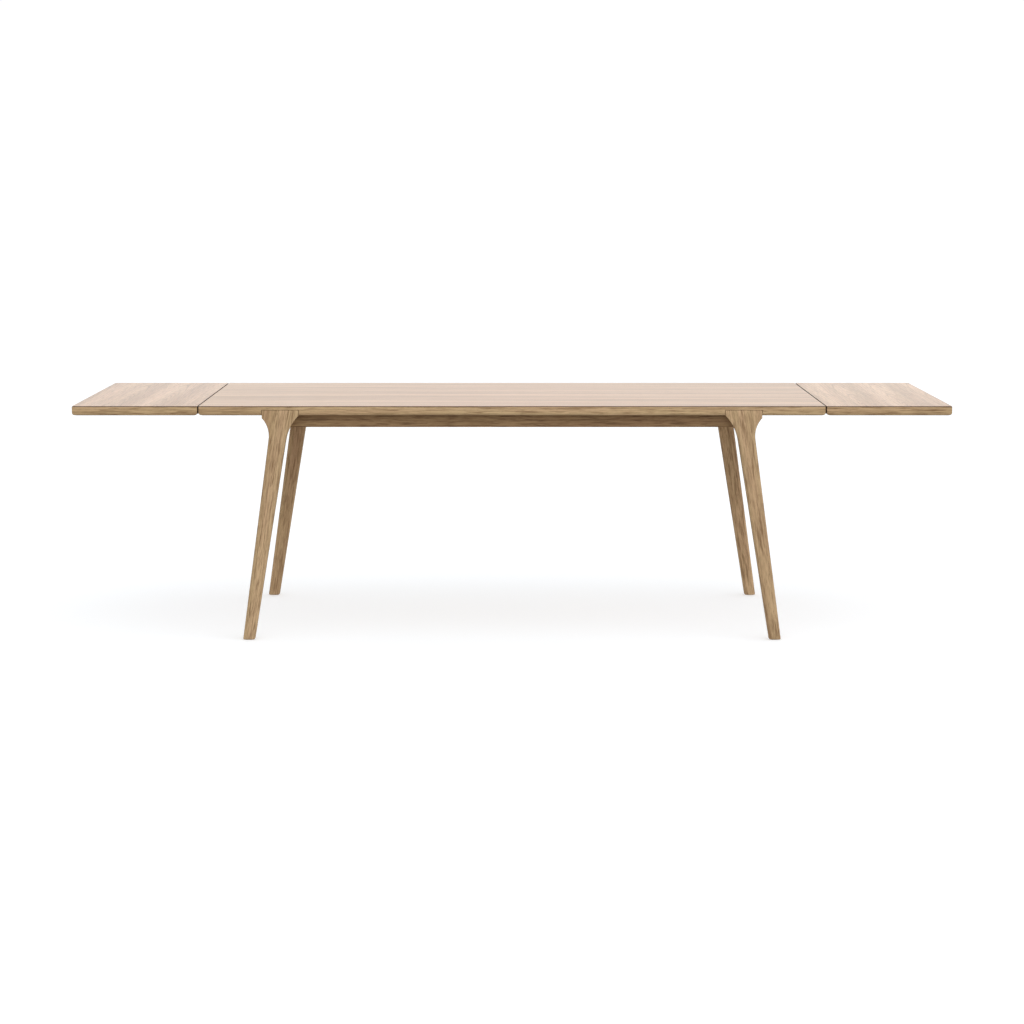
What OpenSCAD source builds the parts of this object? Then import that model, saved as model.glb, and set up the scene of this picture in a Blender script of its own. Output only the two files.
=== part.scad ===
// Extendable dining table: a lipped and veneered top on four flared legs, with a loose leaf at
// each end that rests on two pull-out runners. The origin is on the floor at the table's centre,
// X runs along the table, Y across it and Z up. The leaves are on and the runners are out.

/* [Top and leaves] */
// Height of the table
table_h = 755; // [720:1:780]
// Length of the fixed top
top_l = 1996; // [1900:2:2200]
// Width of the top and the leaves
top_w = 950; // [900:10:1100]
// Thickness of the top and the leaves
top_t = 30; // [28:1:36]
// Length of one leaf, along the table
leaf_l = 399; // [385:1:450]
// Gap between a leaf and the fixed top
seam = 4; // [2:0.5:5]
// Thickness of the veneers
veneer_t = 0.6; // [0.6:0.1:1]
// Width of the solid lippings round the boards
lipping_w = 20; // [16:1:24]
// Radius of the round along the boards' lower edges
under_r = 9; // [6:1:12]
// Radius of the boards' upright corners
corner_r = 1.5; // [1:0.5:5]

/* [Legs] */
// Width of a leg at the floor
foot_w = 38; // [32:1:42]
// Depth of a leg, across the table
leg_d = 36; // [32:1:42]
// Lean of a leg's outer side, in degrees
lean_out = 7.86; // [7.5:0.01:8.2]
// Lean of a leg's inner side, in degrees
lean_in = 9.42; // [9.1:0.01:9.7]
// Width of a leg's head
head_w = 117; // [114:1:120]
// Distance from the end of the top to a leg's head
head_inset = 201; // [180:1:220]
// How far a foot stands out beyond its head
foot_out = 69; // [67:1:71]
// How far a head is let into the top
head_up = 17; // [12:1:18]
// Radius of the flare on a leg's outer side
flare_out_r = 80; // [78:1:82]
// Height below the table's top where the outer flare starts
flare_out_drop = 104; // [103:1:105]
// Radius of the flare on a leg's inner side
flare_in_r = 141; // [139:1:143]
// Height below the table's top where the inner flare starts
flare_in_drop = 109; // [108:1:110]
// Gap round a head in its housing
head_gap = 0.7; // [0.5:0.1:1]
// Thickness of a glide under a foot
glide_t = 1.5; // [1:0.5:3]

/* [Frame] */
// Height of the long rails and the cross rails
rail_h = 40; // [38:1:50]
// Thickness of the long rails
rail_t = 28; // [24:1:32]
// Height of the end rails
end_rail_h = 55; // [50:1:60]
// Thickness of the end rails and the cross rails
cross_t = 24; // [20:1:24]
// Distance from the end of the top to a cross rail
cross_inset = 500; // [480:1:520]

/* [Runners] */
// Length of a runner
runner_l = 945; // [900:1:960]
// Width of a runner
runner_w = 36; // [30:1:40]
// Height of a runner
runner_h = 22; // [20:1:24]
// Distance from the table's centre line to a runner
runner_y = 140; // [130:1:260]
// How far a pulled-out runner reaches beyond the fixed top
runner_reach = 385; // [340:1:385]
// How far a runner pushes in
runner_travel = 390; // [340:1:400]
// Play round a moving piece
play = 0.3; // [0.3:0.1:0.5]

/* [Hardware] */
// Radius of the leaf dowels
dowel_r = 4; // [3:0.5:5]
// Length of a leaf dowel beyond its leaf
dowel_out = 22; // [18:1:26]
// Distance from the centre line to the outer leaf dowels
dowel_y = 320; // [280:10:380]
// Running clearance of a leaf dowel in its bush
dowel_fit = 0.08; // [0.05:0.01:0.1]
// Radius of the leg bolts
bolt_r = 4; // [3:0.5:4]
// Radius of the screws
screw_r = 2.5; // [2:0.5:3]

/* [Hidden] */
$fn = 48;

// Boards
under_z = table_h - top_t;
core_z0 = under_z + veneer_t;
core_z1 = table_h - veneer_t;
mid_z = (core_z0 + core_z1) / 2;
leaf_x0 = top_l / 2 + seam;
leaf_x1 = leaf_x0 + leaf_l;
back_inset = under_r + 1;

// Legs, drawn for the corner at +X +Y
head_x1 = top_l / 2 - head_inset;
head_x0 = head_x1 - head_w;
head_z = under_z + head_up;
foot_x1 = head_x1 + foot_out;
foot_x0 = foot_x1 - foot_w;
foot_z = glide_t;
foot_mid = (foot_x0 + foot_x1) / 2;
leg_y0 = top_w / 2 - leg_d;
flare_out_z = table_h - flare_out_drop;
flare_in_z = table_h - flare_in_drop;
flare_steps = 32;

// Frame
rail_y0 = leg_y0 - rail_t;
rail_z0 = under_z - rail_h;
cross_x = top_l / 2 - cross_inset;
rail_mid_z = under_z - rail_h / 2;
rail_end_inset = 25;
rail_end = head_x1 - rail_end_inset;
end_rail_x = (head_x0 + head_x1) / 2;
end_rail_z0 = under_z - end_rail_h;

// Runners
runner_z1 = under_z - play;
runner_z0 = runner_z1 - runner_h;
runner_mid_z = (runner_z0 + runner_z1) / 2;
runner_x1 = top_l / 2 + runner_reach;
runner_x0 = runner_x1 - runner_l;
pad_t = 1;
notch_z0 = runner_z0 - play - pad_t;
notch_w = runner_w + 2 * play;
stop_r = 4;
stop_out = 8;
out_stop_x = cross_x - cross_t / 2 - play - stop_r;
in_stop_x = end_rail_x + cross_t / 2 + play + stop_r + runner_travel;
grip_r = 14;
grip_back = 34;
grip_lift = 9;

// Guide blocks under the leaves
guide_l = 60;
guide_w = 16;
guide_h = 15;
guide_gap = 1;
guide_inset = 56;
guide_xs = [leaf_x0 + leaf_l / 2, leaf_x1 - guide_inset];
guide_screw_l = 28;

// Hardware
bolt_dx = 24;
bolt_l = 50;
bolt_head_r = 6.5;
bolt_head_h = 8;
bolt_socket_w = 6;
bolt_socket_d = 4;
washer_r = 9;
washer_t = 1.6;
insert_r = 6;
insert_l = 22;
bush_r = 6.5;
bush_l = 26;
dowel_in = 28;
rail_dowel_r = 5;
rail_dowel_in = 20;
rail_dowel_dz = 10;
screw_head_r = 5;
screw_head_h = 3;
screw_sink = 14;
screw_bite = 18;
screw_fit = 0.5;
screw_head_z = rail_z0 + screw_sink;
pilot_fit = 0.05;
nail_r = 1.5;
nail_l = 16;
glide_r = 13;
cut = 1;

// Plan of the screws that hold the top down on the rails
long_rail_screw_xs = [-620, -300, 0, 300, 620];
end_rail_screw_ys = [-300, 0, 300];
cross_rail_screw_ys = [-80, 80];
rail_screw_xy = concat(
    [for (x = long_rail_screw_xs, sy = [-1, 1]) [x, sy * (rail_y0 + rail_t / 2)]],
    [for (sx = [-1, 1], y = end_rail_screw_ys) [sx * end_rail_x, y]],
    [for (sx = [-1, 1], y = cross_rail_screw_ys) [sx * cross_x, y]]
);

oak = "BurlyWood";
oak_pale = "Wheat";
oak_dark = "Peru";
board = "Tan";
steel = "Silver";
brass = "Goldenrod";
nylon = "WhiteSmoke";

function arc(centre, r, from, to) = [
    for (i = [0 : flare_steps])
        let (a = from + (to - from) * i / flare_steps)
            centre + r * [cos(a), sin(a)]
];

// Boards ---------------------------------------------------------------------------------------

// Plan of a board from x0 to x1 with small round corners
module board_plan(x0, x1, inset) {
    y = top_w / 2 - inset;
    r = max(corner_r - inset, 0.1);
    translate([x0 + inset + r, -y])
        square([x1 - x0 - 2 * (inset + r), 2 * y]);
    translate([x0 + inset, -y + r])
        square([x1 - x0 - 2 * inset, 2 * (y - r)]);
    for (x = [x0 + inset + r, x1 - inset - r], sy = [-1, 1])
        translate([x, sy * (y - r)])
            circle(r = r);
}

// Section of a lipping: its outer face is at 0 and the wood runs to lipping_w
module lipping_section() {
    difference() {
        translate([0, core_z0])
            square([lipping_w, core_z1 - core_z0]);
        difference() {
            translate([-cut, core_z0 - cut])
                square([under_r + cut, under_r + cut]);
            translate([under_r, core_z0 + under_r])
                circle(r = under_r);
        }
    }
}

// A lipping along X on the side sy, mitred at both ends
module side_lipping(x0, x1, sy) {
    intersection() {
        translate([x0, 0, 0])
            scale([1, sy, 1])
                translate([0, top_w / 2, 0])
                    rotate([90, 0, 90])
                        linear_extrude(x1 - x0)
                            mirror([1, 0])
                                lipping_section();
        mitre_block(x0, x1, sy);
    }
}

// A lipping along Y at the end x, facing sx, mitred at both ends
module end_lipping(x, sx) {
    intersection() {
        translate([x, top_w / 2, 0])
            rotate([90, 0, 0])
                linear_extrude(top_w)
                    scale([-sx, 1])
                        lipping_section();
        linear_extrude(table_h)
            polygon([
                [x, -top_w / 2],
                [x - sx * lipping_w, lipping_w - top_w / 2],
                [x - sx * lipping_w, top_w / 2 - lipping_w],
                [x, top_w / 2]
            ]);
        end_corners(x, sx);
    }
}

// Trims an end lipping to the round corners
module end_corners(x, sx) {
    x0 = sx > 0 ? x - 2 * lipping_w : x;
    linear_extrude(table_h)
        board_plan(x0, x0 + 2 * lipping_w, 0);
}

module mitre_block(x0, x1, sy) {
    linear_extrude(table_h)
        intersection() {
            board_plan(x0, x1, 0);
            scale([1, sy])
                polygon([
                    [x0, top_w / 2],
                    [x1, top_w / 2],
                    [x1 - lipping_w, top_w / 2 - lipping_w],
                    [x0 + lipping_w, top_w / 2 - lipping_w]
                ]);
        }
}

module board_core(x0, x1) {
    translate([x0 + lipping_w, lipping_w - top_w / 2, core_z0])
        cube([x1 - x0 - 2 * lipping_w, top_w - 2 * lipping_w, core_z1 - core_z0]);
}

module face_veneer(x0, x1) {
    translate([0, 0, core_z1])
        linear_extrude(veneer_t)
            board_plan(x0, x1, 0);
}

module back_veneer(x0, x1) {
    translate([x0 + back_inset, back_inset - top_w / 2, under_z])
        cube([x1 - x0 - 2 * back_inset, top_w - 2 * back_inset, veneer_t]);
}

// The four housings that the leg heads stand in
module head_housings() {
    for (sx = [-1, 1], sy = [-1, 1])
        scale([sx, sy, 1])
            translate([head_x0 - head_gap, leg_y0 - head_gap, under_z - cut])
                cube([head_w + 2 * head_gap, leg_d + head_gap + cut, head_up + head_gap + cut]);
}

// Holes along X for the leaf dowels, into the end at x, going the way dir
module dowel_holes(x, dir, r, l) {
    for (y = [-dowel_y, 0, dowel_y])
        translate([x - dir * cut, y, mid_z])
            rotate([0, dir * 90, 0])
                cylinder(r = r, h = l + cut);
}

module top_core() {
    color(board)
        difference() {
            board_core(-top_l / 2, top_l / 2);
            head_housings();
            for (s = [-1, 1])
                dowel_holes(s * top_l / 2, -s, bush_r, bush_l);
            rail_screw_holes(screw_r, under_z, screw_bite + pilot_fit);
        }
}

module top_face_veneer() {
    color(oak_pale) face_veneer(-top_l / 2, top_l / 2);
}

module top_back_veneer() {
    color(oak)
        difference() {
            back_veneer(-top_l / 2, top_l / 2);
            head_housings();
            rail_screw_holes(screw_r, under_z - cut, veneer_t + 2 * cut);
        }
}

module top_side_lipping(sy) {
    color(oak)
        difference() {
            side_lipping(-top_l / 2, top_l / 2, sy);
            head_housings();
        }
}

module top_end_lipping(sx) {
    color(oak)
        difference() {
            end_lipping(sx * top_l / 2, sx);
            dowel_holes(sx * top_l / 2, -sx, bush_r, bush_l);
        }
}

// Leaves, drawn at +X and mirrored for the left end -----------------------------------------------

module at_end(sx) {
    scale([sx, 1, 1]) children();
}

module leaf_core() {
    color(board)
        difference() {
            board_core(leaf_x0, leaf_x1);
            dowel_holes(leaf_x0, 1, dowel_r, dowel_in);
            guide_screw_holes(screw_r, under_z, guide_screw_l - guide_h + screw_head_h);
        }
}

module leaf_face_veneer() {
    color(oak_pale) face_veneer(leaf_x0, leaf_x1);
}

module leaf_back_veneer() {
    color(oak)
        difference() {
            back_veneer(leaf_x0, leaf_x1);
            guide_screw_holes(screw_r, under_z - cut, veneer_t + 2 * cut);
        }
}

module leaf_side_lipping(sy) {
    color(oak) side_lipping(leaf_x0, leaf_x1, sy);
}

module leaf_outer_lipping() {
    color(oak) end_lipping(leaf_x1, 1);
}

module leaf_inner_lipping() {
    color(oak)
        difference() {
            end_lipping(leaf_x0, -1);
            dowel_holes(leaf_x0, 1, dowel_r, dowel_in);
        }
}

module leaf_dowels() {
    tip_h = 1.5;
    color(steel)
        for (y = [-dowel_y, 0, dowel_y])
            translate([leaf_x0 + dowel_in, y, mid_z])
                rotate([0, -90, 0]) {
                    cylinder(r = dowel_r, h = dowel_in + dowel_out - tip_h);
                    translate([0, 0, dowel_in + dowel_out - tip_h])
                        cylinder(r1 = dowel_r, r2 = dowel_r - tip_h, h = tip_h);
                }
}

module dowel_bushes() {
    color(brass)
        difference() {
            for (y = [-dowel_y, 0, dowel_y])
                translate([top_l / 2, y, mid_z])
                    rotate([0, -90, 0])
                        cylinder(r = bush_r, h = bush_l);
            dowel_holes(top_l / 2, -1, dowel_r + dowel_fit, bush_l - cut);
        }
}

// Places its children at each guide block: two blocks beside each runner, twice along the leaf
module at_guides() {
    for (x = guide_xs, sy = [-1, 1], side = [-1, 1])
        translate([x, sy * runner_y + side * (runner_w / 2 + guide_gap + guide_w / 2), under_z])
            children();
}

module guide_screw_holes(r, z, l) {
    for (dx = [-guide_l / 4, guide_l / 4])
        at_guides()
            translate([dx, 0, z - under_z])
                cylinder(r = r, h = l);
}

module leaf_guides() {
    color(oak_dark)
        difference() {
            at_guides()
                translate([-guide_l / 2, -guide_w / 2, -guide_h])
                    cube([guide_l, guide_w, guide_h]);
            guide_screw_holes(screw_r, under_z - guide_h - cut, guide_h + 2 * cut);
            guide_screw_holes(screw_head_r, under_z - guide_h - cut, screw_head_h + cut);
        }
}

module leaf_guide_screws() {
    color(steel)
        for (dx = [-guide_l / 4, guide_l / 4])
            at_guides()
                translate([dx, 0, -guide_h])
                    screw(guide_screw_l);
}

// A screw that points up, with its head's underside at the origin's side
module screw(l) {
    slot_w = 1.2;
    difference() {
        union() {
            cylinder(r = screw_head_r - pilot_fit, h = screw_head_h);
            cylinder(r = screw_r - pilot_fit, h = l);
        }
        for (a = [0, 90])
            rotate(a)
                translate([-screw_head_r / 2, -slot_w / 2, -cut])
                    cube([screw_head_r, slot_w, 2 * cut]);
    }
}

// Legs and glides, drawn at +X +Y -------------------------------------------------------------------

// Outline in X and Z: straight leaning sides that flare out in two arcs to a wide upright head
module leg_outline() {
    out_t = [foot_x1 - flare_out_z * tan(lean_out), flare_out_z];
    out_c = out_t + flare_out_r * [cos(lean_out), sin(lean_out)];
    in_t = [foot_x0 - flare_in_z * tan(lean_in), flare_in_z];
    in_c = in_t - flare_in_r * [cos(lean_in), sin(lean_in)];
    out_end = acos((head_x1 - out_c[0]) / flare_out_r);
    in_end = acos((head_x0 - in_c[0]) / flare_in_r);
    polygon(concat(
        [[foot_x0 - foot_z * tan(lean_in), foot_z], [foot_x1 - foot_z * tan(lean_out), foot_z]],
        arc(out_c, flare_out_r, 180 + lean_out, out_end),
        [[head_x1, head_z], [head_x0, head_z]],
        arc(in_c, flare_in_r, in_end, lean_in)
    ));
}

// Holes along Y on the leg bolts' axes, from y to y + l
module bolt_holes(r, y, l) {
    for (x = [end_rail_x - bolt_dx, end_rail_x + bolt_dx])
        translate([x, y, rail_mid_z])
            rotate([-90, 0, 0])
                cylinder(r = r, h = l);
}

module leg(sx, sy) {
    color(oak)
        scale([sx, sy, 1])
            difference() {
                translate([0, top_w / 2, 0])
                    rotate([90, 0, 0])
                        linear_extrude(leg_d)
                            leg_outline();
                bolt_holes(insert_r, leg_y0 - cut, insert_l + cut);
                translate([foot_mid, top_w / 2 - leg_d / 2, 0])
                    cylinder(r = nail_r + pilot_fit, h = glide_t + nail_l);
            }
}

module glide(sx, sy) {
    color(nylon)
        translate([sx * foot_mid, sy * (top_w / 2 - leg_d / 2), 0]) {
            cylinder(r = glide_r, h = glide_t);
            cylinder(r = nail_r, h = glide_t + nail_l);
        }
}

module leg_bolts() {
    head_y = rail_y0 - washer_t;
    color(steel)
        for (sx = [-1, 1], sy = [-1, 1])
            scale([sx, sy, 1])
                difference() {
                    union() {
                        bolt_holes(bolt_head_r, head_y - bolt_head_h, bolt_head_h);
                        bolt_holes(bolt_r - pilot_fit, head_y, bolt_l);
                    }
                    for (x = [end_rail_x - bolt_dx, end_rail_x + bolt_dx])
                        translate([x, head_y - bolt_head_h - cut, rail_mid_z])
                            rotate([-90, 0, 0])
                                cylinder(d = bolt_socket_w, h = bolt_socket_d + cut, $fn = 6);
                }
}

module leg_bolt_washers() {
    color(steel)
        for (sx = [-1, 1], sy = [-1, 1])
            scale([sx, sy, 1])
                difference() {
                    bolt_holes(washer_r, rail_y0 - washer_t, washer_t);
                    bolt_holes(bolt_r, rail_y0 - washer_t - cut, washer_t + 2 * cut);
                }
}

module leg_inserts() {
    color(brass)
        for (sx = [-1, 1], sy = [-1, 1])
            scale([sx, sy, 1])
                difference() {
                    bolt_holes(insert_r - pilot_fit, leg_y0, insert_l);
                    bolt_holes(bolt_r, leg_y0 - cut, insert_l + 2 * cut);
                }
}

// Frame ---------------------------------------------------------------------------------------------

module long_rail(sy) {
    color(oak_dark)
        scale([1, sy, 1])
            difference() {
                translate([-rail_end, rail_y0, rail_z0])
                    cube([2 * rail_end, rail_t, rail_h]);
                for (sx = [-1, 1])
                    scale([sx, 1, 1])
                        bolt_holes(bolt_r + screw_fit, rail_y0 - cut, rail_t + 2 * cut);
                rail_dowel_places(rail_dowel_r);
                rail_screw_bores();
            }
}

// A rail across the table, centred on x, notched at the top for the two runners
module cross_member(x, z0) {
    color(oak_dark)
        difference() {
            translate([x - cross_t / 2, -rail_y0, z0])
                cube([cross_t, 2 * rail_y0, under_z - z0]);
            for (sy = [-1, 1])
                translate([x - cross_t / 2 - cut, sy * runner_y - notch_w / 2, notch_z0])
                    cube([cross_t + 2 * cut, notch_w, under_z]);
            rail_dowel_places(rail_dowel_r);
            rail_screw_bores();
        }
}

// Two dowels, one above the other, at each joint of a long rail and a rail across the table
module rail_dowel_places(r) {
    for (sx = [-1, 1], x = [cross_x, end_rail_x], sy = [-1, 1], dz = [-rail_dowel_dz, rail_dowel_dz])
        translate([sx * x, sy * (rail_y0 - rail_dowel_in), rail_mid_z + dz])
            rotate([-sy * 90, 0, 0])
                cylinder(r = r, h = 2 * rail_dowel_in);
}

module rail_dowels() {
    color(oak_pale) rail_dowel_places(rail_dowel_r - pilot_fit);
}

module rail_screw_holes(r, z, l) {
    for (p = rail_screw_xy)
        translate([p[0], p[1], z])
            cylinder(r = r, h = l);
}

module rail_screw_bores() {
    rail_screw_holes(screw_r + screw_fit, end_rail_z0 - cut, end_rail_h + 2 * cut);
    rail_screw_holes(screw_head_r + screw_fit, end_rail_z0 - cut, screw_head_z - end_rail_z0 + cut);
}

module rail_screws() {
    color(steel)
        for (p = rail_screw_xy)
            translate([p[0], p[1], screw_head_z - screw_head_h])
                screw(under_z + screw_bite - screw_head_z + screw_head_h);
}

module runner_pads() {
    color(nylon)
        for (sx = [-1, 1], x = [cross_x, end_rail_x], sy = [-1, 1])
            translate([sx * x - cross_t / 2, sy * runner_y - notch_w / 2, notch_z0])
                cube([cross_t, notch_w, pad_t]);
}

// Runners, drawn at +X +Y -----------------------------------------------------------------------------

module stop_pin_at(x, r, l) {
    translate([x, runner_y + l / 2, runner_mid_z])
        rotate([90, 0, 0])
            cylinder(r = r, h = l);
}

module runner(sx, sy) {
    color(oak)
        scale([sx, sy, 1])
            difference() {
                translate([runner_x0, runner_y - runner_w / 2, runner_z0])
                    cube([runner_l, runner_w, runner_h]);
                stop_pin_at(out_stop_x, stop_r, runner_w + 2 * cut);
                stop_pin_at(in_stop_x, stop_r, runner_w + 2 * cut);
                translate([runner_x1 - grip_back, runner_y + runner_w, runner_z0 - grip_lift])
                    rotate([90, 0, 0])
                        cylinder(r = grip_r, h = 2 * runner_w);
            }
}

module stop_pins(sx, sy) {
    color(oak_dark)
        scale([sx, sy, 1]) {
            stop_pin_at(out_stop_x, stop_r - pilot_fit, runner_w + 2 * stop_out);
            stop_pin_at(in_stop_x, stop_r - pilot_fit, runner_w + 2 * stop_out);
        }
}

top_core();
top_face_veneer();
top_back_veneer();
top_side_lipping(-1);  // top_front_lipping
top_side_lipping(1);  // top_rear_lipping
top_end_lipping(-1);  // top_left_lipping
top_end_lipping(1);  // top_right_lipping
at_end(-1) leaf_core();  // left_leaf_core
at_end(-1) leaf_face_veneer();  // left_leaf_face_veneer
at_end(-1) leaf_back_veneer();  // left_leaf_back_veneer
at_end(-1) leaf_side_lipping(-1);  // left_leaf_front_lipping
at_end(-1) leaf_side_lipping(1);  // left_leaf_rear_lipping
at_end(-1) leaf_outer_lipping();  // left_leaf_outer_lipping
at_end(-1) leaf_inner_lipping();  // left_leaf_inner_lipping
at_end(-1) leaf_dowels();  // left_leaf_dowels
at_end(-1) leaf_guides();  // left_leaf_guides
at_end(-1) leaf_guide_screws();  // left_leaf_guide_screws
at_end(1) leaf_core();  // right_leaf_core
at_end(1) leaf_face_veneer();  // right_leaf_face_veneer
at_end(1) leaf_back_veneer();  // right_leaf_back_veneer
at_end(1) leaf_side_lipping(-1);  // right_leaf_front_lipping
at_end(1) leaf_side_lipping(1);  // right_leaf_rear_lipping
at_end(1) leaf_outer_lipping();  // right_leaf_outer_lipping
at_end(1) leaf_inner_lipping();  // right_leaf_inner_lipping
at_end(1) leaf_dowels();  // right_leaf_dowels
at_end(1) leaf_guides();  // right_leaf_guides
at_end(1) leaf_guide_screws();  // right_leaf_guide_screws
at_end(-1) dowel_bushes();  // left_dowel_bushes
at_end(1) dowel_bushes();  // right_dowel_bushes
leg(-1, -1);  // front_left_leg
leg(1, -1);  // front_right_leg
leg(-1, 1);  // rear_left_leg
leg(1, 1);  // rear_right_leg
glide(-1, -1);  // front_left_glide
glide(1, -1);  // front_right_glide
glide(-1, 1);  // rear_left_glide
glide(1, 1);  // rear_right_glide
long_rail(-1);  // front_rail
long_rail(1);  // rear_rail
cross_member(-end_rail_x, end_rail_z0);  // left_end_rail
cross_member(end_rail_x, end_rail_z0);  // right_end_rail
cross_member(-cross_x, rail_z0);  // left_cross_rail
cross_member(cross_x, rail_z0);  // right_cross_rail
rail_dowels();
rail_screws();
leg_bolts();
leg_bolt_washers();
leg_inserts();
runner_pads();
runner(-1, -1);  // front_left_runner
runner(1, -1);  // front_right_runner
runner(-1, 1);  // rear_left_runner
runner(1, 1);  // rear_right_runner
stop_pins(-1, -1);  // front_left_stop_pins
stop_pins(1, -1);  // front_right_stop_pins
stop_pins(-1, 1);  // rear_left_stop_pins
stop_pins(1, 1);  // rear_right_stop_pins
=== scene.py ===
"""The looks of the extendable dining table: camera, stage, fine wood shapes and materials.

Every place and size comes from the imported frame, and every length is in metres.
"""

import math
from collections import namedtuple

import bmesh
import bpy
import numpy as np
from mathutils import Matrix, Vector


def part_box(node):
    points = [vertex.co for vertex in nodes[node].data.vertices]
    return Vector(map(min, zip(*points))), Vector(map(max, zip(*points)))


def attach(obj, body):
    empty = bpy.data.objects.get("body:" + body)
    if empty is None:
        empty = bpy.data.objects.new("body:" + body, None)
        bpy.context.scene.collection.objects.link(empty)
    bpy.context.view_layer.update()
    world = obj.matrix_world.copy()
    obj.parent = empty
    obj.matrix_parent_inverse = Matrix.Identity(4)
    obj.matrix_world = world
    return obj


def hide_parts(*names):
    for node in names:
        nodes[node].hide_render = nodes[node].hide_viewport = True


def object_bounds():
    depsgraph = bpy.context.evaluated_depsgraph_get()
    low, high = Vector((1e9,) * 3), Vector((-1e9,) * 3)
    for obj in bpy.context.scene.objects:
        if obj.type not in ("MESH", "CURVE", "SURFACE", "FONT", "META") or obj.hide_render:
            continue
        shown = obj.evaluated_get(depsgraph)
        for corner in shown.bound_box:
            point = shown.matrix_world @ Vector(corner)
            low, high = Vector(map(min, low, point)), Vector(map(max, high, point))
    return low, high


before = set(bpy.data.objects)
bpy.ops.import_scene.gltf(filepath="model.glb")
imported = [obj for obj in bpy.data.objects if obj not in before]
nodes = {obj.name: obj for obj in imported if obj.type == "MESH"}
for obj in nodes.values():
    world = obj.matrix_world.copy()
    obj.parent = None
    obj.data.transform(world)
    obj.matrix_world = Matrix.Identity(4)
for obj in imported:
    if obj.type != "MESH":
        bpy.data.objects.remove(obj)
cad_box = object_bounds()

MM = 0.001
SIDES = {"left": -1, "right": 1}
DEPTHS = {"front": -1, "rear": 1}
CORNERS = [(depth, side) for depth in DEPTHS for side in SIDES]
ALONG = {"x": Vector((1, 0, 0)), "y": Vector((0, 1, 0))}

# Node helpers ------------------------------------------------------------------------------------

# The Mix node's socket numbers. Its colours come after the sockets for numbers and vectors
MIX_SHARE = 0
MIX_A = 6
MIX_B = 7
MIX_RESULT = 2


def new_material(name):
    material = bpy.data.materials.new(name)
    material.use_nodes = True
    return material, material.node_tree


def feed(tree, socket, value):
    """Links another node's output into a socket, or sets the socket to a plain value."""
    if isinstance(value, bpy.types.NodeSocket):
        tree.links.new(value, socket)
    else:
        socket.default_value = value


def add(tree, kind, inputs=None, **settings):
    """A new node with its settings, and its inputs set or linked."""
    node = tree.nodes.new(kind)
    for key, value in settings.items():
        setattr(node, key, value)
    for key, value in (inputs or {}).items():
        feed(tree, node.inputs[key], value)
    return node


def finish_shader(tree, sockets):
    """Sets or links sockets of a material's own shader."""
    shader = tree.nodes["Principled BSDF"]
    for name, value in sockets.items():
        feed(tree, shader.inputs[name], value)


def object_space(tree):
    return add(tree, "ShaderNodeTexCoord").outputs["Object"]


def set_ramp(node, stops):
    elements = node.color_ramp.elements
    while len(elements) > 1:
        elements.remove(elements[-1])
    elements[0].position, elements[0].color = stops[0]
    for place, colour in stops[1:]:
        elements.new(place).color = colour


def math_node(tree, operation, a, b=0.0, c=0.0):
    return add(tree, "ShaderNodeMath", {0: a, 1: b, 2: c}, operation=operation).outputs[0]


def vector_node(tree, operation, a, b=(0, 0, 0)):
    return add(tree, "ShaderNodeVectorMath", {0: a, 1: b}, operation=operation).outputs[0]


def remap(tree, value, low, high, to_low, to_high):
    node = add(tree, "ShaderNodeMapRange", {0: value, 1: low, 2: high, 3: to_low, 4: to_high})
    return node.outputs[0]


def noise(tree, vector, scale, detail=2.0, roughness=0.5, output="Fac"):
    """Soft noise from 0 to 1, with a scale of its own along each axis."""
    stretched = vector_node(tree, "MULTIPLY", vector, scale)
    node = add(tree, "ShaderNodeTexNoise",
               {"Vector": stretched, "Scale": 1.0, "Detail": detail, "Roughness": roughness})
    return node.outputs[output]


def mix_colour(tree, share, a, b, blend="MIX"):
    """Colour a with a share of colour b."""
    node = add(tree, "ShaderNodeMix", {MIX_SHARE: share, MIX_A: a, MIX_B: b},
               data_type="RGBA", blend_type=blend)
    return node.outputs[MIX_RESULT]


def relief(tree, height, strength, distance):
    node = add(tree, "ShaderNodeBump", {"Height": height, "Strength": strength, "Distance": distance})
    return node.outputs[0]


# Mesh helpers ------------------------------------------------------------------------------------

SHARP = math.radians(28)
SAME_POINT = 1e-6
NO_LENGTH = 1e-7
ROD_SIDES = 48
QUARTERS = ((1, 1), (-1, 1), (-1, -1), (1, -1))


def object_from(name, bm, *materials):
    """A new object in the scene, made from a bmesh."""
    mesh = bpy.data.meshes.new(name)
    bm.to_mesh(mesh)
    bm.free()
    for material in materials:
        mesh.materials.append(material)
    made = bpy.data.objects.new(name, mesh)
    bpy.context.scene.collection.objects.link(made)
    return made


def smooth(mesh):
    mesh.polygons.foreach_set("use_smooth", [True] * len(mesh.polygons))
    mesh.set_sharp_from_angle(angle=SHARP)


def finish_piece(bm, name, material, node, body):
    """Turns a bmesh into a piece that stands for a CAD node."""
    bmesh.ops.remove_doubles(bm, verts=bm.verts, dist=SAME_POINT)
    bmesh.ops.dissolve_degenerate(bm, edges=bm.edges, dist=NO_LENGTH)
    bmesh.ops.recalc_face_normals(bm, faces=bm.faces)
    piece = object_from(name, bm, material)
    smooth(piece.data)
    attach(piece, body)
    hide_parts(node)
    return piece


def skin(bm, loops):
    """Joins loops of vertices, all with as many points, into a closed tube with flat ends."""
    count = len(loops[0])
    for lower, upper in zip(loops, loops[1:]):
        for i in range(count):
            j = (i + 1) % count
            bm.faces.new((lower[i], lower[j], upper[j], upper[i]))
    bm.faces.new(list(reversed(loops[0])))
    bm.faces.new(loops[-1])


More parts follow.
